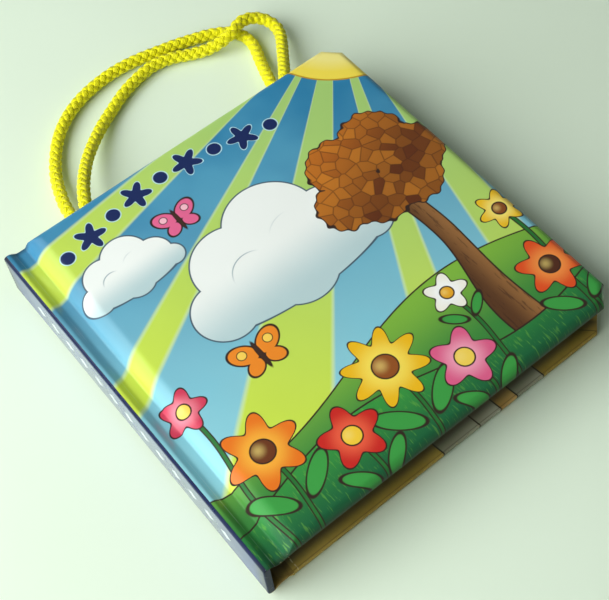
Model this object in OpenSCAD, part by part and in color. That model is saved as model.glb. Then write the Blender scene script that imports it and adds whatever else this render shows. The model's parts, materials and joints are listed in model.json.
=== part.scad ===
// Square padded-cover board book with two cord handles, lying on its back cover.
// +X runs from the spine to the fore-edge, +Y from tail to head, +Z up.

/* [Covers] */
// Width from the spine's face to the fore-edge
cover_w = 150; // [120:1:200]
// Height from tail to head
cover_h = 150; // [120:1:220]
// Cut across each fore-edge corner of a cover
corner_cut = 6; // [3:0.5:9]
// Thickness of the printed wrap
wrap_t = 0.4; // [0.3:0.05:0.6]
// Thickness of the foam pad
pad_t = 1.4; // [1:0.1:2.4]
// Thickness of the stiff cover board
board_t = 2; // [1.6:0.1:2.8]
// Thickness of the leaf that lines a cover
lining_t = 1.3; // [1.2:0.1:1.8]
// Rounding of a cover's outer edges
edge_r = 3; // [2:0.1:3.2]
// Width of the wrap's turn-in on the inside of a cover
turn_in = 14; // [11:0.5:18]

/* [Hinges] */
// From the spine's face to the hinge line in the groove
hinge_x = 7.4; // [7:0.1:8.6]
// Slit between the spine's skin and a cover's skin
hinge_gap = 0.2; // [0.1:0.05:0.4]
// Groove floor beside a cover's shoulder
floor_w = 1.2; // [0.6:0.1:2]
// Groove floor beside the spine's lip
lip_floor_w = 0.2; // [0.2:0.1:0.5]
// Rounding of a cover's shoulder
shoulder_r = 8; // [6:0.1:10]
// From the hinge line to the edge of the cover board
board_set = 4.2; // [3.8:0.1:6]
// Depth of the spine's edge below the cover's face
spine_drop = 1.8; // [1.4:0.1:2.2]
// Rounding of the spine's lips
lip_r = 6.5; // [5:0.1:7]
// Rounding of the spine's outer corners
corner_r = 1.2; // [0.8:0.1:1.4]
// Thickness of the spine board
spine_board_t = 2; // [1.6:0.1:2.2]
// Clearance at the spine board's long edges
spine_clear = 0.2; // [0.1:0.05:0.4]

/* [Pages] */
// Number of board leaves
leaf_count = 8; // [6:1:14]
// Thickness of a board leaf
leaf_t = 1.6; // [1.4:0.1:2]
// Gap between the last leaf and the front lining
leaf_gap = 0.2; // [0.1:0.05:0.4]
// Overhang of the covers past the leaves
overhang = 7; // [6:0.5:9]
// Rounding of the leaves' fore-edge corners
page_r = 6; // [3:0.5:10]
// Width of the line between two leaves at their edges
kerf_w = 0.15; // [0.1:0.05:0.3]
// Depth of the line between two leaves
kerf_d = 0.5; // [0.3:0.1:1]

/* [Cords] */
// Diameter of a handle cord
cord_d = 5; // [4:0.1:5.4]
// Distance between a cord's two ends
cord_span = 89; // [60:1:95]
// Clearance between a cord and the cover that it runs along
cord_gap = 0.1; // [0.05:0.05:0.3]
// Width of a cord's flattened glued end
tail_w = 8; // [6:0.5:10]
// Length of a cord's flattened glued end
tail_l = 14; // [8:0.5:20]
// Thickness of a cord's flattened glued end
tail_t = 1.1; // [0.8:0.1:1.2]
// Clearance around a flattened end in the lining
tail_gap = 0.2; // [0.1:0.05:0.4]

/* [Hidden] */
$fn = 64;
EPS = 1;
cover_t = 2 * wrap_t + board_t + pad_t;
block_t = leaf_count * leaf_t;
book_t = 2 * (cover_t + lining_t) + block_t + leaf_gap;
// Heights of the two covers' inner faces
back_in = cover_t;
front_in = book_t - cover_t;
spine_top = book_t - spine_drop;
spine_in = wrap_t + spine_board_t;
// A shoulder's and a lip's arc both end on the groove's floor
groove_depth = cover_t - wrap_t;
lip_depth = groove_depth - spine_drop;
shoulder_x = hinge_x + floor_w + sqrt(pow(shoulder_r, 2) - pow(shoulder_r - groove_depth, 2));
lip_x = hinge_x - lip_floor_w - sqrt(pow(lip_r, 2) - pow(lip_r - lip_depth, 2));
board_x = hinge_x + board_set;
panel_x = hinge_x + hinge_gap / 2;
panel_mid = (hinge_x + cover_w) / 2;
page_top = cover_h - overhang;
// Routes: across from the panel's middle, out from the head edge, height of the cord's centre
cord_low = cord_d / 2;
front_exit = front_in - cord_gap - cord_low;
back_exit = back_in + cord_gap + cord_low;
front_route = [
    [-cord_span / 2, -overhang, front_exit], [-43.5, 1, 16.9], [-40, 9, 15.4], [-35, 17.5, 12.4],
    [-29, 26, 8.8], [-21.5, 34, 5.6], [-13, 41, 3.4], [-4.5, 46, 2.5], [4, 50, 2.5],
    [12.5, 52.5, 2.5], [20.5, 53.5, 2.5], [28, 52, 2.5], [35, 48.5, 2.6], [42, 45, 3.6],
    [47.8, 42.9, 5.8], [53.3, 42.7, 7.7], [58.8, 44.5, 7.9], [64.2, 43.6, 7], [68, 39.8, 6],
    [68.9, 34.4, 5.6], [67, 29, 6.2], [62.5, 22, 8.2], [56, 12.4, 11.8], [49.3, 2.5, 15.8],
    [cord_span / 2, -overhang, front_exit]];
back_route = [
    [-cord_span / 2, -overhang, back_exit], [-46.5, 3, 6.8], [-46.5, 13, 6], [-44, 23, 4.4],
    [-40, 33, 3], [-34, 42.5, 2.5], [-27, 50, 2.5], [-19, 55.5, 2.5], [-10.5, 59, 2.5],
    [-1, 61, 2.5], [8.5, 61.5, 2.5], [17.5, 60.5, 2.5], [26, 58.5, 2.5], [34, 56.5, 2.5],
    [41.5, 54, 2.5], [48.5, 51.2, 2.5], [54, 47.4, 2.5], [57.3, 42, 2.5], [57.5, 35.5, 2.5],
    [54.5, 27, 3], [51, 18, 4.8], [47.8, 9, 6.6], [45, 1, 6.8],
    [cord_span / 2, -overhang, back_exit]];

// Puts the book's corner frame on its middle
module centred() translate([-cover_w / 2, -cover_h / 2, 0]) children();
// A cover is drawn with its inner face at height 0 and its outer face up
module at_front() translate([0, 0, front_in]) children();
module at_back() translate([0, 0, back_in]) mirror([0, 0, 1]) children();
// Turns a drawn section into a bar along Y, or along X
module along_y(len) rotate([90, 0, 0]) translate([0, 0, -len]) linear_extrude(len) children();
module along_x(len) rotate([90, 0, 90]) linear_extrude(len) children();

// What a cover's rounded outer edge cuts away, d inside the skin, with the edge at u
module edge_cut(u, d) difference() {
    translate([u - edge_r, cover_t - edge_r]) square(edge_r + EPS);
    translate([u - edge_r, cover_t - edge_r]) circle(edge_r - d);
}
// Section across the hinge line: groove floor, shoulder, panel and fore-edge
module panel_section(d) difference() {
    translate([panel_x, 0]) square([cover_w - d - panel_x, cover_t - d]);
    edge_cut(cover_w, d);
    difference() {
        translate([panel_x - EPS, wrap_t]) square([shoulder_x - panel_x + EPS, cover_t]);
        translate([shoulder_x, cover_t - shoulder_r]) circle(shoulder_r - d);
    }
}
// Section along the spine: both ends are rounded
module height_section(d) difference() {
    translate([d, 0]) square([cover_h - 2 * d, cover_t - d]);
    edge_cut(cover_h, d);
    translate([cover_h, 0]) mirror([1, 0]) edge_cut(cover_h, d);
}
// Half of the cover up to a corner's cut, which is rounded like the edges
module corner_bar(u, d) {
    reach = cover_w + cover_h;
    translate([0, reach, 0]) rotate([90, 0, 0]) linear_extrude(2 * reach) difference() {
        translate([-reach, 0]) square([reach + u - d, cover_t - d]);
        edge_cut(u, d);
    }
}
module cover_form(d) intersection() {
    along_y(cover_h) panel_section(d);
    along_x(cover_w) height_section(d);
    rotate([0, 0, 45]) corner_bar((cover_w + cover_h - corner_cut) / sqrt(2), d);
    rotate([0, 0, -45]) corner_bar((cover_w - corner_cut) / sqrt(2), d);
}
// The room inside a cover's skin, for its board and pad
module cover_room() intersection() {
    cover_form(wrap_t);
    translate([0, 0, wrap_t]) cube([cover_w, cover_h, cover_t]);
}
module board_slab() translate([board_x, 0, wrap_t]) cube([cover_w, cover_h, board_t]);
module turn_in_opening(low) translate([board_x, turn_in, low])
    cube([cover_w - turn_in - board_x, cover_h - 2 * turn_in, wrap_t - low]);
module cover_wrap() difference() {
    cover_form(0);
    cover_room();
    turn_in_opening(-EPS);
}
module cover_board() intersection() {
    cover_room();
    board_slab();
}
module cover_pad() difference() {
    cover_room();
    board_slab();
}
// A leaf's outline from x0 to the fore-edge, with its two fore-edge corners rounded
module leaf_outline(x0, inset) {
    r = page_r - inset;
    far = cover_w - overhang - page_r;
    translate([x0, overhang + inset]) square([far - x0, page_top - overhang - 2 * inset]);
    translate([x0, overhang + page_r]) square([far + r - x0, page_top - overhang - 2 * page_r]);
    for (y = [overhang + page_r, page_top - page_r]) translate([far, y]) circle(r);
}
module at_tails() for (s = [-1, 1]) translate([panel_mid + s * cord_span / 2, page_top]) children();
module cover_lining() {
    turn_in_opening(0);
    difference() {
        translate([0, 0, -lining_t]) linear_extrude(lining_t) leaf_outline(panel_x, 0);
        at_tails() translate([-tail_w / 2 - tail_gap, -tail_l - tail_gap, -lining_t - EPS])
            cube([tail_w + 2 * tail_gap, tail_l + tail_gap + EPS, lining_t + EPS]);
    }
}
module cover_tails() at_tails() translate([-tail_w / 2, -tail_l, -tail_t]) cube([tail_w, tail_l, tail_t]);

// The spine's outline d inside its skin, up to the lips' centre line
module spine_body(d) {
    low = spine_drop + d;
    high = spine_top - d;
    r = corner_r - d;
    translate([corner_r, low]) square([lip_x - corner_r, high - low]);
    translate([d, low + r]) square([lip_x - d, high - low - 2 * r]);
    for (z = [low + r, high - r]) translate([corner_r, z]) circle(r);
}
module spine_board_section() intersection() {
    union() {
        spine_body(wrap_t);
        translate([corner_r, 0]) square([spine_in - corner_r, book_t]);
    }
    translate([0, spine_drop + wrap_t + spine_clear])
        square([spine_in, spine_top - spine_drop - 2 * wrap_t - 2 * spine_clear]);
}
module both_lips() {
    children();
    translate([0, book_t]) mirror([0, 1]) children();
}
module lip_disc(d, low, far) intersection() {
    translate([lip_x, spine_top - lip_r]) circle(lip_r - d);
    translate([corner_r, low]) square([far - corner_r, book_t - low]);
}
module spine_skin() difference() {
    union() {
        spine_body(0);
        both_lips() lip_disc(0, front_in, hinge_x - hinge_gap / 2);
        both_lips() translate([corner_r, front_in])
            square([hinge_x - hinge_gap / 2 - corner_r, wrap_t]);
    }
    spine_body(wrap_t);
    both_lips() lip_disc(wrap_t, spine_top - lip_r, hinge_x);
    translate([corner_r, back_in]) square([hinge_x, front_in - back_in]);
}
// Rings of a round cord along its route; the two end rings face the head edge
function cord_dir(p, i) = i == 0 ? [0, 1, 0] : i == len(p) - 1 ? [0, -1, 0]
    : (p[i + 1] - p[i - 1]) / norm(p[i + 1] - p[i - 1]);
function cord_ring(c, t, n) = let (s = cross(t, [0, 0, 1]), u = s / norm(s), v = cross(u, t))
    [for (k = [0:n - 1]) c + cord_low * (cos(360 * k / n) * u + sin(360 * k / n) * v)];
module cord_tube(route, n = 10) {
    p = [for (q = route) [panel_mid + q[0], cover_h + q[1], q[2]]];
    m = len(p);
    polyhedron(
        [for (i = [0:m - 1]) each cord_ring(p[i], cord_dir(p, i), n)],
        concat([[for (k = [0:n - 1]) k]], [[for (k = [n - 1:-1:0]) (m - 1) * n + k]],
            [for (i = [0:m - 2]) for (k = [0:n - 1])
                let (a = i * n + k, b = i * n + (k + 1) % n) each [[a, a + n, b], [b, a + n, b + n]]]));
}

module page_block() color("ivory") centred() translate([0, 0, back_in + lining_t]) difference() {
    linear_extrude(block_t) leaf_outline(spine_in, 0);
    for (i = [1:leaf_count - 1]) translate([0, 0, i * leaf_t - kerf_w / 2]) linear_extrude(kerf_w)
        difference() {
            translate([spine_in - EPS, 0]) square([cover_w, cover_h]);
            leaf_outline(spine_in - 2 * EPS, kerf_d);
        }
}
module spine_board() color("tan") centred()
    translate([0, wrap_t, 0]) along_y(cover_h - 2 * wrap_t) spine_board_section();
module spine_wrap() color("slategray") centred() {
    along_y(cover_h) spine_skin();
    // The wrap is turned in over both ends of the spine board
    for (y = [0, cover_h - wrap_t]) translate([0, y, 0]) along_y(wrap_t) spine_board_section();
}
module front_wrap() color("skyblue") centred() at_front() cover_wrap();
module front_pad() color("white") centred() at_front() cover_pad();
module front_board() color("tan") centred() at_front() cover_board();
module front_lining() color("ivory") centred() at_front() cover_lining();
module front_tails() color("gold") centred() at_front() cover_tails();
module front_cord() color("yellow") centred() cord_tube(front_route);
module back_wrap() color("rosybrown") centred() at_back() cover_wrap();
module back_pad() color("white") centred() at_back() cover_pad();
module back_board() color("tan") centred() at_back() cover_board();
module back_lining() color("ivory") centred() at_back() cover_lining();
module back_tails() color("gold") centred() at_back() cover_tails();
module back_cord() color("yellow") centred() cord_tube(back_route);

page_block();
spine_board();
spine_wrap();
front_wrap();
front_pad();
front_board();
front_lining();
front_tails();
front_cord();
back_wrap();
back_pad();
back_board();
back_lining();
back_tails();
back_cord();
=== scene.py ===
"""A square padded board book with two braided cord handles, lying on its back cover."""
import json
import math
from contextlib import contextmanager

import bmesh
import bpy
import numpy as np
from mathutils import Matrix, Vector

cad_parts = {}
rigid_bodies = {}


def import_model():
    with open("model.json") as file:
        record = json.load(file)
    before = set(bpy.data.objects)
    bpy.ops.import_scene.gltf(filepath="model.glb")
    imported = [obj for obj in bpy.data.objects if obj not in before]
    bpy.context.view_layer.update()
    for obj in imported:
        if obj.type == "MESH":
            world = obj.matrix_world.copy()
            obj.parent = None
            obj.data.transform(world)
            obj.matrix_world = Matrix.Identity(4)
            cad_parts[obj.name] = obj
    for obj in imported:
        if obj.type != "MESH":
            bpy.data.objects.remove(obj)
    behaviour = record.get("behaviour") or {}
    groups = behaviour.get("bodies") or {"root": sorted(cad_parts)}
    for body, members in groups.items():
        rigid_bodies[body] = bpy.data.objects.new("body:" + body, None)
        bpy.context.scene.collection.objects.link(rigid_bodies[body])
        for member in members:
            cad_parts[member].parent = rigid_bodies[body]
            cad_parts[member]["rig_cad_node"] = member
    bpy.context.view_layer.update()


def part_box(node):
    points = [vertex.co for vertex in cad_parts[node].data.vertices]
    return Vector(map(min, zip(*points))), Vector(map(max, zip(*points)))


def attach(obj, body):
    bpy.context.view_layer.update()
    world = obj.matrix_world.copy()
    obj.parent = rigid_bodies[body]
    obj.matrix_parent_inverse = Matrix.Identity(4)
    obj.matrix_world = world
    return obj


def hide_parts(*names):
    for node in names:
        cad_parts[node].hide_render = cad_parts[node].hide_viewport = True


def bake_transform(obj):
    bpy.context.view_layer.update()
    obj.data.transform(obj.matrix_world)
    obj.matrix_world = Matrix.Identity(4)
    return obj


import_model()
MM = 1000.0                                   # millimetres in one metre


def node_box(node):
    """A CAD node's lowest and highest corners, in millimetres of the row frame."""
    return np.round(np.array(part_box(node)) * MM, 3).tolist()


# Sizes in millimetres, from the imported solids
(spine_x, tail_y, SPINE_DROP), (lip_x, head_y, _) = node_box("spine_wrap")
(panel_x, _, FRONT_IN), (fore_x, _, BOOK_T) = node_box("front_wrap")
(leaf_x, _, LEAF_FOOT), (leaf_end, _, leaf_top) = node_box("page_block")
(_, _, WRAP_T), _ = node_box("back_pad")
COVER_W, COVER_H, COVER_T = fore_x - spine_x, head_y - tail_y, BOOK_T - FRONT_IN
SPINE_IN, OVERHANG = leaf_x - spine_x, fore_x - leaf_end
HINGE_X = (lip_x + panel_x) / 2 - spine_x     # middle of the cut between spine and panel
LEAVES = 8
LEAF_T = (leaf_top - LEAF_FOOT) / LEAVES

# Sizes that no box gives
CORNER_CUT, EDGE_R, CORNER_R = 6.0, 3.0, 1.2  # cut corners, rounded edges, the spine's corners
FLOOR_W, SHOULDER_R = 1.2, 8.0                # the groove's floor and the panel's shoulder
TURN_IN, PAGE_R, CORD_D = 14.0, 6.0, 5.0
GROOVE = COVER_T - WRAP_T
SHOULDER_X = HINGE_X + FLOOR_W + math.sqrt(SHOULDER_R**2 - (SHOULDER_R - GROOVE) ** 2)
LIP_DEPTH = GROOVE - SPINE_DROP
PANEL_MID = (HINGE_X + COVER_W) / 2
HALF, MID = COVER_W / 2, BOOK_T / 2           # half a cover's side, half the closed height

# The wrap's finer shape
SKIN_X, FLAT_X = 10.4, 20.5                   # where a cover's skin and its flat face start
SKIN_T, FOLD_R = 0.36, 0.42                   # the skin's thickness and the turn-in's fold
FOAM_LIFT, FADE = 0.55, 4.0                   # the foam's swell, fading out near the edges
LIP_START, LIP_TOP, LIP_FOOT = 1.2, 1.9, 5.6  # where the wrap leaves the spine and falls
PAPER, DOUBLED = 0.32, 0.62                   # the wrap at a hinge, single and turned under
CLEAR = 0.02                                  # a hair's breadth between neighbours
WELD = 2e-6                                   # points closer than this are one, in metres

# Cord routes in millimetres: from the middle of a panel, its head edge and the floor
LEAD, CORD_LIFT = (0, 9, 0), 0.12             # straight run at a cord's ends, room below it
FRONT_ROUTE = [
    (-44.5, -7, 17.2), (-43.5, 1, 16.9), (-40, 9, 15.4), (-35, 17.5, 12.4), (-29, 26, 8.8),
    (-21.5, 34, 5.6), (-13, 41, 3.4), (-4.5, 46, 2.5), (4, 50, 2.5), (12.5, 52.5, 2.5),
    (20.5, 53.5, 2.5), (28, 52, 2.5), (35, 48.5, 2.6), (42, 45, 3.6), (47.8, 42.9, 5.8),
    (53.3, 42.7, 7.7), (58.8, 44.5, 7.9), (64.2, 43.6, 7), (68, 39.8, 6), (68.9, 34.4, 5.6),
    (67, 29, 6.2), (62.5, 22, 8.2), (56, 12.4, 11.8), (49.3, 2.5, 15.8), (44.5, -7, 17.2)]
BACK_ROUTE = [
    (-44.5, -7, 6.8), (-46.5, 3, 6.8), (-46.5, 13, 6), (-44, 23, 4.4), (-40, 33, 3),
    (-34, 42.5, 2.5), (-27, 50, 2.5), (-19, 55.5, 2.5), (-10.5, 59, 2.5), (-1, 61, 2.5),
    (8.5, 61.5, 2.5), (17.5, 60.5, 2.5), (26, 58.5, 2.5), (34, 56.5, 2.5), (41.5, 54, 2.5),
    (48.5, 51.2, 2.5), (54, 47.4, 2.5), (57.3, 42, 2.5), (57.5, 35.5, 2.5), (54.5, 27, 3),
    (51, 18, 4.8), (47.8, 9, 6.6), (45, 1, 6.8), (44.5, -7, 6.8)]


def row(points):
    """Millimetres from the spine, the tail and the floor, as metres of the row frame."""
    return (np.asarray(points, float) - (COVER_W / 2, COVER_H / 2, 0)) / MM


def srgb(r, g, b):
    """An 8-bit screen colour as a linear one."""
    return tuple(c / 12.92 if c <= 0.04045 else ((c + 0.055) / 1.055) ** 2.4
                 for c in (r / 255, g / 255, b / 255)) + (1.0,)


# Node trees: sockets as numbers, and one way to add a node

def operator(name, reflected=False):
    """A method of Num that adds a Math node, its own socket second where reflected."""
    def add_node(self, other):
        values = (other, self) if reflected else (self, other)
        return self.tree.math(name, *values)
    return add_node


class Num:
    """A value socket that works in Python expressions."""

    __add__, __radd__ = operator("ADD"), operator("ADD", True)
    __sub__, __rsub__ = operator("SUBTRACT"), operator("SUBTRACT", True)
    __mul__, __rmul__ = operator("MULTIPLY"), operator("MULTIPLY", True)
    __truediv__, __rtruediv__ = operator("DIVIDE"), operator("DIVIDE", True)

    def __init__(self, tree, socket):
        self.tree, self.socket = tree, socket

    def __neg__(self):
        return self * -1.0

    def __abs__(self):
        return self.tree.math("ABSOLUTE", self)


class Nodes:
    """A node tree, with the one method that adds nodes to it."""

    def __init__(self, tree):
        self.tree = tree

    def node(self, kind, settings=None, inputs=None, out=0):
        """Adds a node, its settings first. Gives one output, or the node where out is None."""
        n = self.tree.nodes.new(kind)
        for key, value in (settings or {}).items():
            setattr(n, key, value)
        for key, value in (inputs or {}).items():
            if isinstance(value, Num):
                self.tree.links.new(value.socket, n.inputs[key])
            else:
                n.inputs[key].default_value = value
        return n if out is None else Num(self, n.outputs[out])

    def math(self, operation, *values):
        return self.node("ShaderNodeMath", {"operation": operation}, dict(enumerate(values)))

    def vector(self, operation, *values, out="Vector"):
        return self.node("ShaderNodeVectorMath", {"operation": operation},
                         dict(enumerate(values)), out)

    def measure(self, operation, *values):
        """A vector operation that gives a number."""
        return self.vector(operation, *values, out="Value")

    def scaled(self, vector, factor):
        return self.node("ShaderNodeVectorMath", {"operation": "SCALE"},
                         {0: vector, "Scale": factor})

    def xyz(self, x=0.0, y=0.0, z=0.0):
        return self.node("ShaderNodeCombineXYZ", None, {0: x, 1: y, 2: z})

    def split(self, vector):
        n = self.node("ShaderNodeSeparateXYZ", None, {0: vector}, None)
        return [Num(self, s) for s in n.outputs]


class Finish(Nodes):
    """A material on one Principled shader, in millimetres of the row frame."""

    MIX_A, MIX_B, MIX_OUT = 6, 7, 2           # the Mix node's colour sockets

    def __init__(self, name):
        self.material = bpy.data.materials.new(name)
        self.material.use_nodes = True
        super().__init__(self.material.node_tree)
        self.shader = next(n for n in self.tree.nodes if n.type == "BSDF_PRINCIPLED")
        self.place = self.scaled(self.node("ShaderNodeTexCoord", out="Object"), MM)
        self.x, self.y, self.z = self.split(self.place)

    def set(self, **values):
        """Sets or links the shader's sockets, with _ for the spaces in their names."""
        for key, value in values.items():
            socket = self.shader.inputs[key.replace("_", " ")]
            if isinstance(value, Num):
                self.tree.links.new(value.socket, socket)
            else:
                socket.default_value = value

    def mix(self, factor, a, b):
        """Colour a where factor is 0, colour b where it is 1."""
        return self.node("ShaderNodeMix", {"data_type": "RGBA", "clamp_factor": True},
                         {0: factor, self.MIX_A: a, self.MIX_B: b}, self.MIX_OUT)

    def noise(self, scale, detail=3.0, rough=0.5, where=None):
        return self.node("ShaderNodeTexNoise", None,
                         {"Vector": where or self.place, "Scale": scale, "Detail": detail,
                          "Roughness": rough})

    def ramp(self, value, low, high, smooth=True):
        """0 at low, 1 at high."""
        return self.node("ShaderNodeMapRange",
                         {"interpolation_type": "SMOOTHSTEP" if smooth else "LINEAR"},
                         {"Value": value, "From Min": low, "From Max": high})

    def bump(self, height, distance, strength, normal=None):
        """Relief of a distance in millimetres, over another relief where one is given."""
        given = {"Height": height, "Distance": distance / MM, "Strength": strength}
        if normal:
            given["Normal"] = normal
        return self.node("ShaderNodeBump", None, given)


class Print(Finish):
    """A finish with flat shapes: signed distances in millimetres, negative inside."""

    def __init__(self, name):
        super().__init__(name)
        self.page = self.xyz(self.x, self.y)

    def apart(self, cx, cy):
        """Distance from a place on the page."""
        return self.measure("DISTANCE", self.page, (cx, cy, 0))

    def disc(self, cx, cy, r):
        return self.apart(cx, cy) - r

    def oval(self, cx, cy, a, b, turn=0.0):
        c, s = math.cos(turn), math.sin(turn)
        p = self.vector("SUBTRACT", self.page, (cx, cy, 0))
        u = self.measure("DOT_PRODUCT", p, (c / a, s / a, 0))
        v = self.measure("DOT_PRODUCT", p, (-s / b, c / b, 0))
        return (self.math("SQRT", u * u + v * v) - 1.0) * min(a, b)

    def petals(self, cx, cy, r, count, turn=0.0, depth=0.2):
        """A disc with a wavy edge, one wave to a petal."""
        p = self.vector("SUBTRACT", self.page, (cx, cy, 0))
        px, py, _ = self.split(p)
        wave = self.math("COSINE", self.math("ARCTAN2", py, px) * count + turn)
        return self.measure("LENGTH", p) - (wave * (r * depth) + r * (1 - depth))

    def union(self, shapes):
        first, *others = shapes
        for shape in others:
            first = self.math("MINIMUM", first, shape)
        return first

    def reach(self):
        """How far out a point is, towards the head, the tail or the fore-edge."""
        return self.math("MAXIMUM", abs(self.y), self.x)

    def inside(self, d, soft=0.12):
        return self.ramp(d, soft, -soft, False)

    def line(self, d, width, soft=0.1):
        return self.ramp(abs(d), width + soft, width - soft, False)

    def paint(self, under, d, fill, ink=None, width=0.3):
        """Fills a shape, with an inked outline where a colour is given for it."""
        under = self.mix(self.inside(d), under, fill)
        return self.mix(self.line(d, width), under, ink) if ink else under


# Cover print: places in millimetres from the middle of the cover
INK = srgb(52, 34, 30)
NAVY = srgb(24, 40, 92)
WHITE = srgb(246, 249, 246)
PAINTED_TURN_SHADE = srgb(40, 26, 2)                  # painted shade deep inside the turned edges
# Sun: place and radii; beams: angle and half-width in radians
SUN, SUN_R, GLOW_R = (84.0, 86.0), 34, 27
BEAMS = ((0.19, 0.06), (0.50, 0.035), (0.80, 0.085), (1.12, 0.045), (1.40, 0.06))
# Clouds: place and size; their puffs and curls: place and radius at size 1
CLOUDS = ((-2.0, 12.0, 1.0), (-46.0, 40.0, 0.5))
PUFFS = ((-27, -7, 12), (-13, 6, 16), (7, 11, 18), (24, 0, 14), (34, -9, 9), (2, -9, 15))
CURLS = ((-9, -2, 9), (12, 1, 11))
# Tree: its middle line, the height of its crown, and the crown's masses: place and radius
TREE_X, CROWN_Y = 47.0, 16.0
CROWN = ((-17, -4, 11), (-8, 10, 13), (9, 12, 13), (18, 0, 11), (8, -9, 12), (-6, -9, 11))
# Flowers: place, size, petals, two petal colours, heart colour
FLOWERS = (
    (-51, -44, 14, 6, (238, 120, 30), (252, 178, 60), (110, 56, 28)),
    (-26, -58, 11.5, 5, (206, 40, 34), (240, 96, 66), (250, 206, 60)),
    (-2, -46, 15, 8, (244, 188, 26), (254, 226, 92), (150, 82, 34)),
    (20, -60, 11.5, 5, (226, 96, 140), (246, 160, 186), (250, 214, 90)),
    (66, -52, 12, 6, (232, 82, 34), (250, 148, 70), (84, 44, 28)),
    (32, -38, 8, 5, (250, 246, 236), (255, 255, 255), (236, 170, 40)),
    (-62, -16, 8.5, 5, (214, 62, 92), (240, 132, 150), (250, 214, 90)),
    (69, -24, 8.5, 6, (246, 196, 40), (254, 232, 120), (140, 76, 34)))
LEAFY = 6                                     # the first flowers, which have leaves
# Butterflies: place, size, wing and spot colours; wings: place, half-sizes, turn
BUTTERFLIES = ((-30, -16, 1.0, (242, 140, 40), (252, 210, 90)),
               (-19, 46, 0.85, (232, 104, 150), (250, 190, 206)))
WINGS = ((5, 3.2, 5.6, 3.8, 0.6), (4, -3, 3.8, 2.8, -0.6))
# Garland: count of marks, first place, step and height
GARLAND, GARLAND_START, GARLAND_STEP, GARLAND_Y = 9, -58, 11.2, 61
SCUFF = (-63, -HALF, FRONT_IN + 0.8)          # rubbed corner beside the spine
CREASE_X, FOLD_X = -70.9, -62.6               # creases along the front lip and the back hinge


def laminate(m, gloss, coat, dull):
    """Film over print: a little uneven, with fine dust, rubbed patches and dulled edges."""
    film = m.noise(0.09, 2.0)
    dust = m.noise(1.4, 3.0, 0.6)
    rubbed = m.ramp(m.noise(0.05, 4.0, 0.65), 0.5, 0.75)
    m.set(Roughness=rubbed * 0.1 + dust * 0.06 + dull * 0.4 + gloss,
          Coat_Weight=(1 - dull) * coat, Coat_Roughness=0.07, IOR=1.5,
          Normal=m.bump(dust, 0.02, 0.35, m.bump(film, 0.5, 0.25)))


def worn(m, colour, low, high, tint):
    """Paper showing through along a cover's turned lower edge, in broken flecks."""
    rim = m.ramp(m.reach(), HALF - 0.8, HALF - 0.1)
    edge = m.ramp(m.z, low, high) * rim * m.ramp(m.noise(0.9, 4.0, 0.7), 0.54, 0.68)
    return m.mix(edge * 0.7, colour, tint)


def sky(m):
    """Blue that deepens towards the head, with a soft haze."""
    height = m.ramp(m.y + m.x * 0.25, -75, 80)
    colour = m.mix(height, srgb(150, 214, 226), srgb(40, 124, 170))
    haze = m.ramp(m.noise(0.03, 2.0), 0.35, 0.75)
    return m.mix(haze * 0.3, colour, srgb(120, 200, 224))


def sunbeams(m, colour):
    """A sun in the head corner of the fore-edge, with broad beams across the sky."""
    px, py, _ = m.split(m.vector("SUBTRACT", m.page, (*SUN, 0)))
    angle = m.math("ARCTAN2", -py, -px)
    lime = m.mix(m.ramp(m.apart(*SUN), 215, 40), srgb(214, 232, 8), srgb(176, 214, 112))
    for middle, half in BEAMS:
        ray = abs(angle - middle)
        colour = m.mix(m.ramp(ray, half + 0.006, half - 0.006) * 0.92, colour, lime)
        colour = m.mix(m.line(ray - half, 0.004, 0.003) * 0.5, colour, srgb(222, 240, 170))
    colour = m.paint(colour, m.disc(*SUN, SUN_R), srgb(250, 226, 84), srgb(196, 150, 30), 0.35)
    return m.mix(m.inside(m.disc(*SUN, GLOW_R), 3.0) * 0.6, colour, srgb(255, 246, 170))


def clouds(m, colour):
    """White clouds, shaded below, with a curl or two inside."""
    for cx, cy, k in CLOUDS:
        puffs = m.union([m.disc(cx + u * k, cy + v * k, r * k) for u, v, r in PUFFS])
        shape = m.union([puffs, m.oval(cx + 3 * k, cy - 11 * k, 37 * k, 10 * k)])
        fill = m.mix(m.ramp(m.y, cy - 18 * k, cy + 6 * k), srgb(188, 212, 216), WHITE)
        colour = m.paint(colour, shape, fill, srgb(70, 92, 110), 0.28)
        slant = cy - cx * 0.4
        for u, v, r in CURLS:
            curl = m.line(m.disc(cx + u * k, cy + v * k, r * k), 0.22)
            upper = m.ramp(m.y - m.x * 0.4, slant + 6 * k, slant + 12 * k)
            colour = m.mix(curl * upper * 0.8, colour, srgb(120, 146, 160))
    return colour


def hill(m, colour):
    """The far slope, behind the tree."""
    crest = m.math("SINE", m.x * 0.035 + 0.4) * 9.0 - 39.0
    grass = m.mix(m.ramp(m.y, -60, -30), srgb(60, 136, 62), srgb(132, 186, 66))
    return m.paint(colour, m.y - crest, grass, INK, 0.28)


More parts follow.
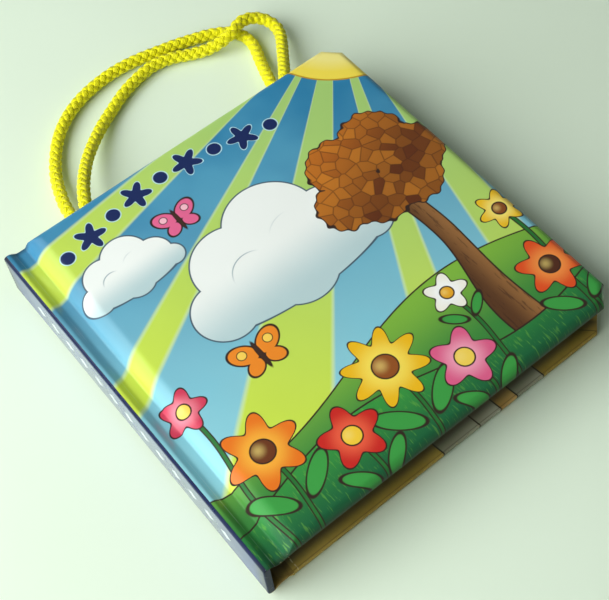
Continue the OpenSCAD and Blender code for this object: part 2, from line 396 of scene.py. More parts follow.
def tree(m, colour):
    """A tree in autumn leaf, its crown a mass of single leaves."""
    bend = m.math("SINE", m.y * 0.09) * 1.6
    girth = m.ramp(m.y, -20, -62) * 3.2 + 3.6
    trunk = m.math("MAXIMUM", abs(m.x - TREE_X + bend) - girth, m.y - 2.0)
    bark = m.mix(m.ramp(m.x, 42, 53), srgb(92, 58, 34), srgb(156, 108, 62))
    furrow = m.ramp(m.noise(0.9, 3.0, 0.6, m.xyz(m.x, m.y * 0.12)), 0.55, 0.66)
    colour = m.paint(colour, trunk, m.mix(furrow * 0.6, bark, srgb(58, 34, 24)), INK, 0.3)
    ripple = m.math("SINE", m.x * 0.95) * m.math("SINE", m.y * 0.95) * 0.9
    crown = m.union([m.disc(TREE_X + u, CROWN_Y + v, r) for u, v, r in CROWN]) + ripple
    fall = m.mix(m.ramp(m.x * 0.6 - m.y, -32, 22), srgb(206, 116, 34), srgb(96, 46, 22))
    cells = {"Vector": m.page, "Scale": 0.21, "Randomness": 0.8}
    tint, *_ = m.split(m.node("ShaderNodeTexVoronoi",
                              {"voronoi_dimensions": "2D", "feature": "F1"}, cells, "Color"))
    rib = m.node("ShaderNodeTexVoronoi",
                 {"voronoi_dimensions": "2D", "feature": "DISTANCE_TO_EDGE"}, cells)
    fall = m.mix(tint * 0.55, fall, srgb(222, 140, 44))
    fall = m.mix(m.ramp(rib, 0.07, 0.03) * 0.55, fall, srgb(74, 36, 20))
    return m.paint(colour, crown, fall, INK, 0.32)


def lawn(m, colour):
    """The near slope, with blades of grass."""
    crest = m.math("SINE", m.x * 0.045 + 2.6) * 6.0 - 58.0
    grass = m.mix(m.ramp(m.y, -76, -52), srgb(24, 94, 58), srgb(58, 152, 66))
    blade = m.ramp(m.noise(0.8, 2.0, 0.5, m.xyz(m.x * 1.6, m.y * 0.25)), 0.55, 0.7)
    return m.paint(colour, m.y - crest, m.mix(blade * 0.35, grass, srgb(122, 190, 70)), INK, 0.3)


def flowers(m, colour):
    """A bed of flowers: stems, then leaves, then heads."""
    stems = []
    for cx, cy, *_ in FLOWERS:
        bend = m.math("SINE", (m.y - cy) * 0.12) * 1.2
        stems.append(m.math("MAXIMUM", abs(m.x - cx + bend) - 0.75, m.y - cy))
    colour = m.paint(colour, m.union(stems), srgb(40, 116, 52), INK, 0.22)
    leaves = [m.oval(cx + s * r * 0.62, cy - r * 1.18, r * 0.6, r * 0.22, s * 0.7)
              for cx, cy, r, *_ in FLOWERS[:LEAFY] for s in (-1, 1)]
    colour = m.paint(colour, m.union(leaves), srgb(62, 158, 70), INK, 0.26)
    for cx, cy, r, count, outer, inner, heart in FLOWERS:
        out = m.apart(cx, cy)
        tone = m.mix(m.ramp(out, r * 0.25, r * 0.85), srgb(*inner), srgb(*outer))
        colour = m.paint(colour, m.petals(cx, cy, r, count, cx), tone, INK, 0.3)
        glow = m.ramp(m.apart(cx - r * 0.08, cy + r * 0.08), r * 0.26, 0.0) * 0.5
        core = m.mix(glow, srgb(*heart), srgb(252, 224, 130))
        colour = m.paint(colour, out - r * 0.3, core, INK, 0.26)
    return colour


def butterflies(m, colour):
    """Two butterflies with spread, spotted wings."""
    for cx, cy, k, wing, spot in BUTTERFLIES:
        wings = m.union([m.oval(cx + s * u * k, cy + v * k, a * k, b * k, s * t)
                         for s in (-1, 1) for u, v, a, b, t in WINGS])
        colour = m.paint(colour, wings, srgb(*wing), INK, 0.3)
        spots = m.union([m.disc(cx + s * 5.4 * k, cy + 3.6 * k, 1.7 * k) for s in (-1, 1)])
        colour = m.paint(colour, spots, srgb(*spot), INK, 0.16)
        colour = m.paint(colour, m.oval(cx, cy, 0.9 * k, 5.4 * k), srgb(66, 44, 34), INK, 0.14)
    return colour


def garland(m, colour):
    """Navy dots and stars in turn, along a low arch near the head."""
    for i in range(GARLAND):
        u = GARLAND_START + i * GARLAND_STEP
        v = GARLAND_Y + 4.5 * math.cos((i - GARLAND // 2) * 0.55)
        mark = m.petals(u, v, 6.2, 5, 0.6 * i, 0.26) if i % 2 else m.disc(u, v, 4.6 * 0.62)
        colour = m.paint(colour, mark, NAVY, srgb(190, 226, 236), 0.2)
    return colour


def front_print():
    """A garden under a broad sun, on glossy film."""
    m = Print("front_print")
    colour = sky(m)
    for motif in (sunbeams, clouds, hill, tree, lawn, flowers, butterflies, garland):
        colour = motif(m, colour)
    corner = m.ramp(m.measure("DISTANCE", m.place, SCUFF), 6, 1)
    scuff = m.ramp(m.noise(1.1, 4.0, 0.65) + corner * 0.06, 0.64, 0.72) * corner
    colour = m.mix(scuff * 0.6, colour, srgb(206, 192, 160))
    # A crease along the lip, drawn as a pale line: painted highlight
    crease = m.line(m.x - CREASE_X, 0.09) * m.ramp(m.noise(0.06, 2.0), 0.35, 0.6)
    colour = m.mix(crease * 0.35, colour, srgb(226, 238, 240))
    # Handled edges are duller; darker down the turn of the board as painted shade
    rim = m.ramp(m.reach(), HALF - 2.4, HALF - 0.1)
    painted_edge_shade = m.ramp(m.z, BOOK_T - 0.6, FRONT_IN + 0.8)
    colour = m.mix(rim * painted_edge_shade * 0.62, colour, srgb(30, 22, 14))
    m.set(Base_Color=worn(m, colour, FRONT_IN + 0.5, FRONT_IN + 0.1, srgb(190, 176, 146)))
    laminate(m, 0.28, 0.45, rim)
    return m.material


def back_print():
    """Olive field with a path of stone slabs, dark joints between them."""
    m = Print("back_print")
    cloudy = m.ramp(m.noise(0.022, 2.0, 0.5), 0.3, 0.7)
    colour = m.mix(cloudy, srgb(154, 126, 46), srgb(190, 160, 74))
    speckle = m.ramp(m.noise(0.5, 4.0, 0.6), 0.45, 0.8)
    colour = m.mix(speckle * 0.2, colour, srgb(122, 98, 38))
    lean = m.x + m.y * 0.22 + m.math("SINE", m.y * 0.06) * 4.0
    joints = (-14.0, 2.0, 11.5, 19.0, 31.0)
    tones = ((140, 138, 116), (152, 150, 130), (176, 136, 70), (140, 138, 118))
    for a, b, tone in zip(joints, joints[1:], tones):
        shade = m.mix(m.ramp(lean, a, b), srgb(*tone), srgb(*[t + 24 for t in tone]))
        colour = m.paint(colour, m.math("MAXIMUM", a - lean, lean - b), shade)
    for a in joints:
        colour = m.mix(m.line(lean - a, 0.28), colour, srgb(48, 40, 30))
    # Turned edges: darker inwards as painted shade, dark lines of painted shade along the fold and
    # the folded corners, and a pale crease
    turned = m.ramp(m.z, COVER_T - 1.0, COVER_T - 0.4)
    reach = m.reach()
    turn_shade_mask = m.ramp(reach, HALF - 0.6, HALF - 5.1) * turned
    colour = m.mix(turn_shade_mask * 0.86, colour, PAINTED_TURN_SHADE)
    # Dark lines along the fold and the folded corners' edges: painted shade in the creases
    fold_shade = m.line(reach - (HALF - 0.7), 0.12, 0.14) * turned
    colour = m.mix(fold_shade * 0.6, colour, srgb(54, 44, 24))
    flap_shade = m.line(abs(m.x - abs(m.y)) - 5.0, 0.2, 0.2) * m.ramp(m.x, 58, 60) * turned
    colour = m.mix(flap_shade * 0.85, colour, srgb(44, 30, 12))
    crease = m.line(m.x - FOLD_X + m.noise(0.5, 2.0) * 0.8, 0.16) * turned
    pale = crease * m.ramp(m.noise(0.9, 3.0), 0.42, 0.56)
    colour = m.mix(pale * 0.8, colour, srgb(214, 196, 150))
    m.set(Base_Color=worn(m, colour, COVER_T - 0.9, COVER_T - 0.1, srgb(170, 152, 108)))
    laminate(m, 0.32, 0.35, m.ramp(reach, HALF - 2.4, HALF - 0.1))
    return m.material


def gutter_paper():
    """Turned-in paper at the ends of a hinge: print darkened inwards as painted shade, rubbed
    folds.
    """
    m = Finish("gutter_paper")
    mottle = m.noise(0.35, 4.0, 0.6)
    colour = m.mix(m.ramp(mottle, 0.3, 0.7), srgb(122, 98, 38), srgb(158, 130, 62))
    # Darker inwards from the ends of the hinge: painted shade
    colour = m.mix(m.ramp(abs(m.y), HALF - 0.2, HALF - 4.6) * 0.86, colour, PAINTED_TURN_SHADE)
    rubbed = m.ramp(m.noise(1.6, 4.0, 0.7), 0.62, 0.74)
    m.set(Base_Color=m.mix(rubbed * 0.4, colour, srgb(140, 118, 70)),
          Roughness=mottle * 0.2 + 0.5, Normal=m.bump(mottle, 0.06, 0.4))
    return m.material


def spine_print():
    """Blue spine with a navy rule along both long edges and pale lozenges along the middle."""
    m = Print("spine_print")
    out, level = abs(m.y), abs(m.z - MID)
    colour = m.mix(m.ramp(m.noise(0.04, 3.0), 0.35, 0.7), srgb(46, 58, 116), srgb(60, 74, 138))
    colour = m.mix(m.ramp(level, 9.2, 9.45), colour, srgb(22, 32, 74))
    step = m.math("WRAP", m.y, -4.5, 4.5)
    lozenge = m.inside(abs(step) * 0.9 + level - 2.5) * m.ramp(out, 58.7, 58.3)
    colour = m.mix(lozenge, colour, srgb(214, 220, 232))
    # Darker towards both ends, where the spine turns in: painted shade
    colour = m.mix(m.ramp(out, 68, HALF - 0.4) * 0.85, colour, srgb(22, 28, 46))
    wear = m.ramp(out, HALF - 3, HALF) * m.ramp(m.noise(0.9, 4.0, 0.7), 0.6, 0.72)
    m.set(Base_Color=m.mix(wear * 0.6, colour, srgb(160, 166, 184)))
    ends = m.math("MAXIMUM", m.ramp(out, HALF - 1.0, HALF - 0.3), m.ramp(out, 40, 74) * 0.35)
    laminate(m, 0.22, 0.8, ends)
    return m.material


def leaf_board(name, tint):
    """White coated board: faint mottle, layered grain on the cut edges."""
    m = Finish(name)
    mottle = m.noise(0.03, 3.0, 0.5)
    grain = m.noise(3.0, 4.0, 0.6, m.xyz(m.x * 0.15, m.y * 0.15, m.z * 2.4))
    colour = m.mix(m.ramp(mottle, 0.25, 0.75), tint, srgb(240, 238, 228))
    colour = m.mix(m.ramp(grain, 0.5, 0.75) * 0.22, colour, srgb(176, 166, 142))
    m.set(Base_Color=colour, Roughness=grain * 0.15 + 0.42, Specular_IOR_Level=0.4,
          Normal=m.bump(grain, 0.05, 0.4))
    return m.material


def grey_board():
    """Pressed grey board with dark flecks."""
    m = Finish("grey_board")
    fibre = m.noise(1.4, 5.0, 0.7)
    fleck = m.ramp(m.noise(2.6, 2.0, 0.5), 0.62, 0.7)
    colour = m.mix(m.ramp(fibre, 0.3, 0.7), srgb(138, 126, 108), srgb(170, 158, 138))
    m.set(Base_Color=m.mix(fleck * 0.6, colour, srgb(98, 88, 76)), Roughness=fibre * 0.1 + 0.8,
          Normal=m.bump(fibre, 0.1, 0.5))
    return m.material


def foam_sheet():
    """White foam with small cells."""
    m = Finish("foam_sheet")
    cells = m.node("ShaderNodeTexVoronoi", {"feature": "DISTANCE_TO_EDGE"},
                   {"Vector": m.place, "Scale": 2.2})
    m.set(Base_Color=m.mix(m.ramp(cells, 0.0, 0.25), srgb(214, 212, 204), srgb(240, 240, 236)),
          Roughness=0.9, Normal=m.bump(cells, 0.15, 0.6))
    return m.material


def cord_braid():
    """Bright yellow yarn: fine plies along each strand, darker between the plies as painted shade,
    paler where the nap is rubbed.
    """
    m = Finish("cord_braid")
    along = m.node("ShaderNodeAttribute", {"attribute_name": "along"}, out="Fac")
    around = m.node("ShaderNodeAttribute", {"attribute_name": "around"}, out="Fac")
    ply = m.math("SINE", (around * 6.0 + along * 1100.0) * (2 * math.pi)) * 0.5 + 0.5
    nap = m.noise(2.4, 4.0, 0.65)
    tone = m.mix(m.ramp(nap, 0.3, 0.72), srgb(242, 232, 0), srgb(255, 252, 14))
    # Darker in the hollows between the plies: painted shade
    tone = m.mix(m.ramp(ply, 0.55, 0.0) * 0.3, tone, srgb(196, 182, 0))
    m.set(Base_Color=tone, Roughness=nap * 0.2 + 0.5, Specular_IOR_Level=0.35,
          Sheen_Weight=0.25, Sheen_Roughness=0.4, Sheen_Tint=(1.0, 0.98, 0.7, 1.0),
          Normal=m.bump(ply + nap * 0.6, 0.14, 0.8))
    return m.material


def cord_tail():
    """The cord's ends, pressed flat and stiff with glue."""
    m = Finish("cord_tail")
    weave = m.math("SINE", (m.x + m.y) * 2.4) * m.math("SINE", (m.x - m.y) * 2.4)
    # Darker in the hollows of the weave: painted shade
    tone = m.mix(m.ramp(weave, -0.6, 0.6), srgb(196, 168, 0), srgb(238, 222, 22))
    m.set(Base_Color=tone, Roughness=0.7, Normal=m.bump(weave, 0.25, 0.8))
    return m.material


FRONT_PRINT, BACK_PRINT, SPINE_PRINT = front_print(), back_print(), spine_print()
LEAF_BOARD = leaf_board("leaf_board", srgb(232, 228, 212))
LINING_BOARD = leaf_board("lining_board", srgb(222, 226, 214))
GREY_BOARD, FOAM, GUTTER = grey_board(), foam_sheet(), gutter_paper()
CORD, CORD_TAIL = cord_braid(), cord_tail()


# Meshes

def placed(name, data):
    """A new object in the scene."""
    obj = bpy.data.objects.new(name, data)
    bpy.context.scene.collection.objects.link(obj)
    return obj


def piece(name, points, faces, materials):
    """A mesh object, its points in millimetres from the spine, the tail and the floor."""
    mesh = bpy.data.meshes.new(name)
    mesh.from_pydata([tuple(p) for p in row(points)], [], [tuple(f) for f in faces])
    for material in materials:
        mesh.materials.append(material)
    return placed(name, mesh)


@contextmanager
def editing(obj):
    """An object's mesh as a bmesh, written back at the end."""
    b = bmesh.new()
    b.from_mesh(obj.data)
    yield b
    b.to_mesh(obj.data)
    b.free()


def baked(obj):
    """An object's plain mesh, with its modifiers applied."""
    bpy.context.view_layer.update()
    graph = bpy.context.evaluated_depsgraph_get()
    return bpy.data.meshes.new_from_object(obj.evaluated_get(graph))


def settle(obj):
    """Turns an object's modifiers into plain mesh."""
    mesh = baked(obj)
    obj.modifiers.clear()
    obj.data = mesh


def shade_smooth(obj, degrees=35):
    """Smooth shading that keeps corners sharper than the angle."""
    obj.data.shade_smooth()
    with editing(obj) as b:
        for e in b.edges:
            if len(e.link_faces) == 2 and e.calc_face_angle(0) > math.radians(degrees):
                e.smooth = False


def quads(rows, cols, start=0):
    """Faces of a grid of points."""
    return [(start + r * cols + c, start + r * cols + c + 1,
             start + (r + 1) * cols + c + 1, start + (r + 1) * cols + c)
            for r in range(rows - 1) for c in range(cols - 1)]


def ring_faces(rings):
    """Faces of a closed solid through rings of equal count, with a flat face at each end."""
    n, last = len(rings[0]), len(rings) - 1
    sides = [(r * n + c, r * n + (c + 1) % n, (r + 1) * n + (c + 1) % n, (r + 1) * n + c)
             for r in range(last) for c in range(n)]
    return sides + [tuple(range(n))[::-1], tuple(range(last * n, (last + 1) * n))]


def shoulder(x):
    """Height of a front cover's outer face across its hinge shoulder."""
    dx = np.clip(SHOULDER_X - np.asarray(x, float), 0, SHOULDER_R)
    return BOOK_T - SHOULDER_R + np.sqrt(SHOULDER_R**2 - dx**2)


def groove(x):
    """Height of the wrap from the spine's lip, through the hinge groove, to the shoulder."""
    x = np.asarray(x, float)
    t = np.clip((x - LIP_TOP) / (LIP_FOOT - LIP_TOP), 0, 1)
    lip = BOOK_T - SPINE_DROP - LIP_DEPTH * t * t * (3 - 2 * t)
    return np.maximum(np.where(x < HINGE_X, lip, shoulder(x)), FRONT_IN + WRAP_T)


def puff(x, y, amount):
    """How far the foam lifts the face, with slow unevenness that fades out at the edges."""
    span_x, span_y = 142.0, COVER_H
    u = np.clip((x - SKIN_X) / (COVER_W - SKIN_X), 0, 1)
    v = np.clip(y / COVER_H, 0, 1)
    lift = (1 - (2 * u - 1) ** 4) * (1 - (2 * v - 1) ** 4)
    margin = np.minimum.reduce([u * span_x, (1 - u) * span_x, v * span_y, (1 - v) * span_y])
    waves = (0.07 * np.sin(x * 0.13 + 1.3) * np.sin(y * 0.11 + 0.4)
             + 0.035 * np.sin(x * 0.31 + y * 0.24) + 0.03 * np.sin(y * 0.42 - x * 0.12))
    return amount * (lift + waves * np.clip(margin / FADE, 0, 1) * 1.6)


def edge_bands(limit):
    """Inset and height of a front cover's outlines, from the face over the edge to the turn-in.

    A height of None follows the face.
    """
    bands = [(inset, None) for inset in (limit, 8.2, 6.4, 4.9, 3.9)]
    bands += [(EDGE_R * (1 - math.cos(a)), BOOK_T - EDGE_R * (1 - math.sin(a)))
              for a in np.radians(np.linspace(90, 0, 12))]
    bands += [(0.0, FRONT_IN + rise) for rise in (0.9, 0.6, FOLD_R)]
    bands += [(FOLD_R * (1 - math.cos(a)), FRONT_IN + FOLD_R * (1 - math.sin(a)))
              for a in np.radians((22, 45, 68, 90))]
    return bands + [(inset, FRONT_IN) for inset in (1.6, 3.2, 5.0, 7.0, 9.0, 12.0)]


def cover_skin(name, front, material):
    """One cover's wrap: face, rounded edges and turn-in, from the hinge shoulder outwards."""
    limit = CORNER_CUT / (2 - math.sqrt(2))   # the inset where the cut corner shrinks to a point
    slope = math.sqrt(2) - 1
    lift = FOAM_LIFT if front else 0.0
    hinge_xs = np.concatenate([np.linspace(SKIN_X, SHOULDER_X, 13), [16.4, 18.0, FLAT_X]])
    share_x, share_y = np.linspace(0, 1, 37)[1:], np.linspace(0, 1, 41)
    bands = edge_bands(limit)
    points, outlines = [], []
    for inset, z in bands:
        end_x, far_x = COVER_W - CORNER_CUT - slope * inset, COVER_W - inset
        cut_y = CORNER_CUT + slope * inset
        xs = np.concatenate([hinge_xs, FLAT_X + (end_x - FLAT_X) * share_x])
        ys = cut_y + (COVER_H - 2 * cut_y) * share_y
        # The tail edge and its cut corner, the fore-edge, then the head as the tail
        tail = [(x, inset) for x in xs]
        tail += [(end_x + (far_x - end_x) * t, inset + (cut_y - inset) * t)
                 for t in (0.25, 0.5, 0.75)]
        plan = np.array(tail + [(far_x, y) for y in ys]
                        + [(x, COVER_H - y) for x, y in tail[::-1]])
        top = np.minimum(BOOK_T if z is None else z, shoulder(plan[:, 0]))
        if z is None or z > BOOK_T - EDGE_R:
            top = top + puff(plan[:, 0], plan[:, 1], lift) * min(1.0, inset / FADE)
        points += [(x, y, h) for (x, y), h in zip(plan, top)]
        outlines.append((xs, ys, len(plan)))
    xs, ys, count = outlines[0]
    faces = [f[::-1] for f in quads(len(bands), count)] + quads(len(ys), len(xs), len(points))
    gx, gy = np.meshgrid(xs, ys)
    gz = shoulder(gx) + puff(gx, gy, lift)
    points = np.array(points + list(zip(gx.ravel(), gy.ravel(), gz.ravel())))
    if not front:
        points[:, 2] = BOOK_T - points[:, 2]
    skin = piece(name, points, faces, [material])
    with editing(skin) as b:
        bmesh.ops.remove_doubles(b, verts=b.verts, dist=WELD)
        if not front:
            bmesh.ops.reverse_faces(b, faces=b.faces)
    wall = skin.modifiers.new("thickness", "SOLIDIFY")
    wall.thickness, wall.offset = SKIN_T / MM, -1.0
    settle(skin)
    return skin


def tube(name, rings, materials, inner=()):
    """A closed solid through rings of points; faces on ring steps in inner take material 1."""
    obj = piece(name, [p for ring in rings for p in ring], ring_faces(rings), materials)
    for face in obj.data.polygons:
        face.material_index = int(len(face.vertices) == 4 and face.index % len(rings[0]) in inner)
    with editing(obj) as b:
        bmesh.ops.recalc_face_normals(b, faces=b.faces)
    return obj


def hinge_strip(name, front, materials):
    """The wrap across one hinge, turned under at head and tail, closing the panel's edge."""
    xs = np.linspace(LIP_START, SKIN_X, 29)
    fine = np.linspace(LIP_START - 1.0, SKIN_X + 1.0, 361)
    kernel = np.hanning(29)
    soft = np.interp(xs, fine, np.convolve(groove(fine), kernel / kernel.sum(), "same"))
    # 0 at the two long edges, which meet their neighbours
    free = np.clip(np.minimum(xs - LIP_START, SKIN_X - xs) / 0.8, 0, 1)
    zs = groove(xs) * (1 - free) + soft * free
    # Place from the end, how far the outer face is let down, and the paper's thickness
    ends = [(0.0, 0.2, 0.42), (0.1, 0.08, 0.54), (0.3, 0.02, 0.6), (0.6, 0.0, DOUBLED),
            (TURN_IN, 0.0, DOUBLED), (TURN_IN + 0.3, 0.0, PAPER)]
    rows = ends + [(y, 0.0, PAPER) for y in np.linspace(TURN_IN + 2, COVER_H - TURN_IN - 2, 52)]
    rows += [(COVER_H - y, drop, under) for y, drop, under in ends[::-1]]
    rings = []
    for y, drop, under in rows:
        outer = zs + 0.05 * np.sin(y * 0.21 + xs) * math.sin(y * 0.083) * free
        inner = outer - under
        inner = np.where(xs > HINGE_X, np.minimum(inner, FRONT_IN + CLEAR), inner)
        ring = list(zip(xs, outer - drop)) + list(zip(xs[::-1], inner[::-1]))
        rings.append([(x, y, z if front else BOOK_T - z) for x, z in ring])
    strip = tube(name, rings, materials, range(len(xs), 2 * len(xs) - 1))
    for face in strip.data.polygons:
        if face.material_index and abs(face.center.y) > (COVER_H / 2 - TURN_IN) / MM:
            face.material_index = 2
    return strip


def spine_skin(name, materials):
    """The wrap over the spine board, turned in over both ends."""
    high = BOOK_T - SPINE_DROP
    back = [(CORNER_R + 0.06, high - 0.55), (SPINE_IN - 0.04, high - 0.55)]
    turn = np.radians(np.linspace(0, 90, 9))

    def profile(d, y):
        r = CORNER_R - d * 0.6
        top = [(CORNER_R - r * math.sin(a) + d * 0.4, high - d - r + r * math.cos(a)) for a in turn]
        face_x, face_z = top[-1]
        face = [(face_x, z) for z in np.linspace(face_z, BOOK_T - face_z, 26)[1:-1]]
        ring = top + face + [(x, BOOK_T - z) for x, z in top[::-1]]
        ring += [(x, BOOK_T - z) for x, z in back] + back[::-1]
        return [(x, y, z) for x, z in ring]

    # Place from the end, and how far the skin draws in there
    ends = [(0.0, 0.42), (0.06, 0.2), (0.2, 0.06), (0.45, 0.0)]
    rows = ends + [(y, 0.0) for y in np.linspace(2.0, COVER_H - 2.0, 50)]
    rows += [(COVER_H - y, d) for y, d in ends[::-1]]
    return tube(name, [profile(d, y) for y, d in rows], materials)


# What repeats or follows a path, in Geometry Nodes

class Shape(Nodes):
    """A Geometry Nodes tree with named inputs."""

    def __init__(self, name, **inputs):
        tree = bpy.data.node_groups.new(name, "GeometryNodeTree")
        super().__init__(tree)
        kinds = {float: "NodeSocketFloat", int: "NodeSocketInt"}
        sockets = tree.interface
        sockets.new_socket("Geometry", in_out="INPUT", socket_type="NodeSocketGeometry")
        sockets.new_socket("Geometry", in_out="OUTPUT", socket_type="NodeSocketGeometry")
        for key, value in inputs.items():
            sockets.new_socket(key, in_out="INPUT", socket_type=kinds[type(value)])
        entry = tree.nodes.new("NodeGroupInput")
        self.given = {s.name: Num(self, s) for s in entry.outputs if s.name}
        self.values = inputs

    def stored(self, geometry, name, value):
        return self.node("GeometryNodeStoreNamedAttribute",
                         {"data_type": "FLOAT", "domain": "POINT"},
                         {"Geometry": geometry, "Name": name, "Value": value})

    def swept(self, curve, profile):
        return self.node("GeometryNodeCurveToMesh", None,
                         {"Curve": curve, "Profile Curve": profile, "Fill Caps": True})

    def run(self, obj, geometry, material):
        """Ends the tree and puts it on an object."""
        real = self.node("GeometryNodeRealizeInstances", None, {0: geometry})
        smooth = self.node("GeometryNodeSetShadeSmooth", None, {"Geometry": real})
        dressed = self.node("GeometryNodeSetMaterial", None,
                            {"Geometry": smooth, "Material": material})
        end = self.tree.nodes.new("NodeGroupOutput")
        self.tree.links.new(dressed.socket, end.inputs[0])
        mod = obj.modifiers.new("shape", "NODES")
        mod.node_group = self.tree
        for item in self.tree.interface.items_tree:
            if item.in_out == "INPUT" and item.name in self.values:
                mod[item.identifier] = self.values[item.name]


def smooth_route(route, steps=14):
    """Points along a centripetal spline through a route, leaving the book straight."""
    p = np.array([(PANEL_MID + x, COVER_H + y, z) for x, y, z in route])
    p = np.vstack([p[0] - LEAD, p, p[-1] - LEAD])
    line = []
    for a, b, c, d in zip(p, p[1:], p[2:], p[3:]):
        t = np.cumsum([0] + [math.sqrt(np.linalg.norm(v)) for v in (b - a, c - b, d - c)])
        for s in np.linspace(t[1], t[2], steps, endpoint=False):
            ab = a + (b - a) * (s - t[0]) / (t[1] - t[0])
            bc = b + (c - b) * (s - t[1]) / (t[2] - t[1])
            cd = c + (d - c) * (s - t[2]) / (t[3] - t[2])
            abc = ab + (bc - ab) * (s - t[0]) / (t[2] - t[0])
            bcd = bc + (cd - bc) * (s - t[1]) / (t[3] - t[1])
            line.append(abc + (bcd - abc) * (s - t[1]) / (t[2] - t[1]))
    line = np.array(line + [p[-2]])
    line[:, 2] = np.maximum(line[:, 2], CORD_D / 2 + CORD_LIFT)
    return row(line)


def route_curve(name, path):
    """A curve object through a path of points."""
    curve = bpy.data.curves.new(name, "CURVE")
    curve.dimensions = "3D"
    spline = curve.splines.new("POLY")
    spline.points.add(len(path) - 1)
    spline.points.foreach_set("co", np.column_stack([path, np.ones(len(path))]).ravel())
    return placed(name, curve)


def braided_cord(name, route):
    """A round braid: strands wind both ways round the route, over and under each other."""
    path = smooth_route(route)
    guide = route_curve(name + "_route", path)
    g = Shape(name + "_braid", Strands=6, Pitch=0.0102, Middle=0.00168, Swing=0.00034,
              Half_Width=0.00128, Half_Thick=0.0006, Core=0.0013, Step=0.00055)
    v = g.given
    line = g.node("GeometryNodeResampleCurve", {"mode": "LENGTH"},
                  {"Curve": v["Geometry"], "Length": v["Step"]})
    # The route's directions and length, kept for each strand
    grab = g.tree.nodes.new("GeometryNodeCaptureAttribute")
    g.tree.links.new(line.socket, grab.inputs["Geometry"])
    for kind, label, num in (
            ("VECTOR", "Normal", g.node("GeometryNodeInputNormal")),
            ("VECTOR", "Tangent", g.node("GeometryNodeInputTangent")),
            ("FLOAT", "Length", g.node("GeometryNodeSplineParameter", out="Length"))):
        grab.capture_items.new(kind, label)
        g.tree.links.new(num.socket, grab.inputs[label])
    held = {s.name: Num(g, s) for s in grab.outputs if s.name}
    copies = g.node("GeometryNodeDuplicateElements", {"domain": "SPLINE"},
                    {"Geometry": held["Geometry"], "Amount": v["Strands"]}, None)
    index = Num(g, copies.outputs["Duplicate Index"])
    # Every second strand winds the other way, and they swing in and out past each other
    way = 1.0 - g.math("MODULO", index, 2.0) * 2.0
    turn = held["Length"] / v["Pitch"] * (2 * math.pi)
    half = v["Strands"] / 2.0
    angle = way * turn + g.math("FLOOR", index / 2.0) * (2 * math.pi) / half
    reach = v["Middle"] + way * v["Swing"] * g.math("COSINE", turn * half)
    across = g.vector("CROSS_PRODUCT", held["Tangent"], held["Normal"])
    out = g.vector("ADD", g.scaled(held["Normal"], g.math("COSINE", angle)),
                   g.scaled(across, g.math("SINE", angle)))
    moved = g.node("GeometryNodeSetPosition", None,
                   {"Geometry": Num(g, copies.outputs["Geometry"]), "Offset": g.scaled(out, reach)})
    faced = g.node("GeometryNodeSetCurveNormal", {"mode": "FREE"}, {"Curve": moved, "Normal": out})
    ring = g.node("GeometryNodeCurvePrimitiveCircle", None, {"Resolution": 8, "Radius": 1.0})
    oval = g.node("GeometryNodeTransform", None,
                  {"Geometry": ring, "Scale": g.xyz(v["Half_Thick"], v["Half_Width"], 1.0)})
    hub = g.node("GeometryNodeCurvePrimitiveCircle", None, {"Resolution": 8, "Radius": v["Core"]})
    strands = g.swept(g.stored(faced, "along", held["Length"]),
                      g.stored(oval, "around", g.node("GeometryNodeSplineParameter")))
    join = g.tree.nodes.new("GeometryNodeJoinGeometry")
    for part in (g.swept(line, hub), strands):
        g.tree.links.new(part.socket, join.inputs[0])
    g.run(guide, Num(g, join.outputs[0]), CORD)
    mesh = baked(guide)
    bpy.data.objects.remove(guide)
    return placed(name, mesh), path


def leaf_block(name):
    """Board leaves, each with eased edges, stacked a little unevenly."""
    far, near, top = COVER_W - OVERHANG, OVERHANG, COVER_H - OVERHANG
    turn = np.radians(np.linspace(0, 90, 9))
    back = SPINE_IN + CLEAR
    eased = ((0.16, CLEAR), (0.04, 0.07), (0.0, 0.18))  # inset and height up a leaf's lower edge
    rings = []
    for inset, z in (*eased, *[(inset, LEAF_T - z) for inset, z in eased[::-1]]):
        r = PAGE_R - inset
        plan = [(back, near + inset)]
        plan += [(far - PAGE_R + r * math.sin(a), near + PAGE_R - r * math.cos(a)) for a in turn]
        plan += [(far - PAGE_R + r * math.cos(a), top - PAGE_R + r * math.sin(a)) for a in turn]
        plan += [(back, top - inset)]
        rings.append([(x, y, LEAF_FOOT + z) for x, y in plan])
    obj = piece(name, [p for ring in rings for p in ring], ring_faces(rings), [LEAF_BOARD])
    g = Shape("leaf_stack", Count=LEAVES, Rise=LEAF_T / MM, Slip=0.00016)
    v = g.given
    spots = g.node("GeometryNodeMeshLine", None,
                   {"Count": v["Count"], "Offset": g.xyz(0.0, 0.0, v["Rise"])})
    slip = g.node("FunctionNodeRandomValue", {"data_type": "FLOAT_VECTOR"},
                  {0: g.xyz(-v["Slip"], -v["Slip"], 0.0), 1: g.xyz(0.0, v["Slip"], 0.0), "Seed": 7})
    spots = g.node("GeometryNodeSetPosition", None, {"Geometry": spots, "Offset": slip})
    stack = g.node("GeometryNodeInstanceOnPoints", None,
                   {"Points": spots, "Instance": v["Geometry"]})
    g.run(obj, stack, LEAF_BOARD)
    settle(obj)
    return obj


# The book's pieces

front_cord, front_path = braided_cord("front_handle", FRONT_ROUTE)
back_cord, back_path = braided_cord("back_handle", BACK_ROUTE)
for cord, path, body, node in ((front_cord, front_path, "front_cover", "front_cord"),
                               (back_cord, back_path, "back_cover", "back_cord")):
    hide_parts(node)
    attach(cord, body)

front_skin = cover_skin("front_cover_skin", True, FRONT_PRINT)
back_skin = cover_skin("back_cover_skin", False, BACK_PRINT)
for skin, body, node, slot in ((front_skin, "front_cover", "front_wrap", "front_print"),
                               (back_skin, "back_cover", "back_wrap", "back_print")):
    shade_smooth(skin)
    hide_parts(node)
    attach(skin, body)

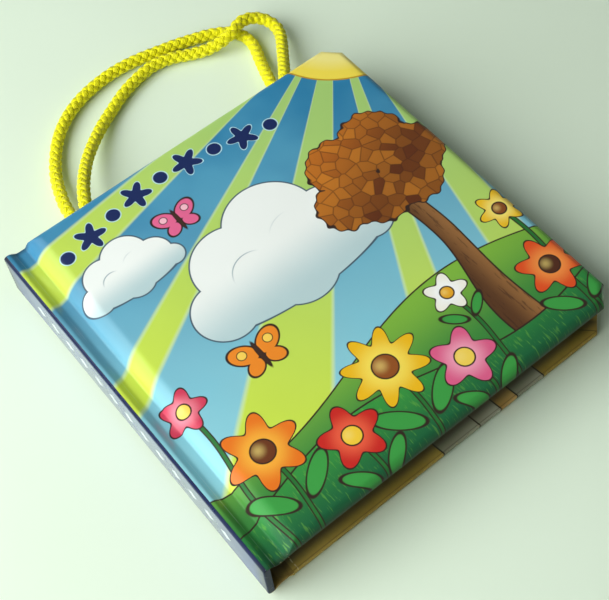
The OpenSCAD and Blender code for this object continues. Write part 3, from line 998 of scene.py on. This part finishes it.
spine = spine_skin("spine_skin", [SPINE_PRINT])
shade_smooth(spine)
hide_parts("spine_wrap")
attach(spine, "block")

for name, front, body, material, slot in (
        ("front_hinge_strip", True, "front_cover", FRONT_PRINT, "front_print"),
        ("back_hinge_strip", False, "back_cover", BACK_PRINT, "back_print")):
    strip = hinge_strip(name, front, [material, LEAF_BOARD, GUTTER])
    shade_smooth(strip, 50)
    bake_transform(strip)

leaves = leaf_block("leaf_block")
shade_smooth(leaves, 14)
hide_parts("page_block")
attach(leaves, "block")

SOLID_FINISHES = {
    "front_lining": LINING_BOARD, "back_lining": LINING_BOARD,
    "front_board": GREY_BOARD, "back_board": GREY_BOARD, "spine_board": GREY_BOARD,
    "front_pad": FOAM, "back_pad": FOAM, "front_tails": CORD_TAIL, "back_tails": CORD_TAIL}
for obj in bpy.context.scene.objects:
    if obj.get("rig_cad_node") in SOLID_FINISHES:
        obj.data.materials.clear()
        obj.data.materials.append(SOLID_FINISHES[obj["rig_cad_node"]])


# Floor, light and camera, in metres

FLOOR_HALF, FLOOR_DROP = 3, 0.0002
WINDOW_AT, WINDOW_SIZE, WINDOW_TINT = (-0.65, 0.12, 0.45), (0.95, 0.9), (0.97, 1.0, 0.97)
SKY_AT, SKY_SIZE, SKY_TINT = (-0.35, 0.85, 0.95), (0.7, 0.6), (0.93, 1.0, 1.0)
ROOM_TINT, ROOM_LIGHT = (0.86, 0.95, 0.88, 1.0), 0.115
EYE = (-0.13223, -0.20223, 0.40102)
RIGHT, AHEAD = Vector((0.77893, -0.62429, -0.05945)), Vector((0.28558, 0.43751, -0.85266))
SENSOR_MM, FOCAL_PX, FRAME_PX = 36.0, 1310.2, 609.0  # focal length in the photograph's pixels


def pale_floor():
    """A plain pale floor, darker where it runs under the window: painted shade."""
    m = Finish("floor")
    tone = m.mix(m.ramp(m.noise(0.004, 2.0), 0.3, 0.7),
                 srgb(225, 239, 219), srgb(231, 245, 226))
    # Darker towards the window: painted shade
    window_side_shade = m.ramp(m.x, -170, -430)
    m.set(Base_Color=m.mix(window_side_shade, tone, srgb(166, 177, 162)),
          Roughness=0.85, Specular_IOR_Level=0.1)
    mesh = bpy.data.meshes.new("floor")
    corners = [(x * FLOOR_HALF, y * FLOOR_HALF, 0) for x, y in ((-1, -1), (1, -1), (1, 1), (-1, 1))]
    mesh.from_pydata(corners, [], [(0, 1, 2, 3)])
    mesh.materials.append(m.material)
    floor = placed("floor", mesh)
    floor.location.z = -FLOOR_DROP


def room_light():
    """Faint light from all round, and plain colour in the picture."""
    world = bpy.data.worlds.new("room")
    world.use_nodes = True
    back = world.node_tree.nodes["Background"]
    back.inputs["Color"].default_value = ROOM_TINT
    back.inputs["Strength"].default_value = ROOM_LIGHT
    bpy.context.scene.world = world
    bpy.context.scene.view_settings.view_transform = "Standard"


def lamp(name, spot, size, tint, power, spread=180, diffuse=True, glossy=True):
    """A soft rectangle of light that faces the book."""
    light = bpy.data.lights.new(name, "AREA")
    light.shape, light.size, light.size_y = "RECTANGLE", *size
    light.energy, light.color, light.spread = power, tint, math.radians(spread)
    obj = placed(name, light)
    obj.visible_diffuse, obj.visible_glossy = diffuse, glossy
    obj.location = spot
    obj.rotation_euler = (-Vector(spot)).to_track_quat("-Z", "Y").to_euler()


def camera():
    """A camera where the photograph was taken from."""
    cam = bpy.data.cameras.new("camera")
    cam.sensor_width, cam.sensor_fit = SENSOR_MM, "HORIZONTAL"
    cam.lens = FOCAL_PX * SENSOR_MM / FRAME_PX
    cam.clip_start, cam.clip_end = 0.01, 10.0
    turn = Matrix((RIGHT, RIGHT.cross(AHEAD), -AHEAD)).transposed().to_4x4()
    obj = placed("camera", cam)
    obj.matrix_world = Matrix.Translation(EYE) @ turn
    bpy.context.scene.camera = obj


pale_floor()
room_light()
# The window's mirrored image is kept fainter than its light, as behind a polarising sheet
lamp("window", WINDOW_AT, WINDOW_SIZE, WINDOW_TINT, 7.0, spread=125, glossy=False)
lamp("window_sheen", WINDOW_AT, WINDOW_SIZE, WINDOW_TINT, 4.0, diffuse=False)
lamp("sky", SKY_AT, SKY_SIZE, SKY_TINT, 1.7)
camera()
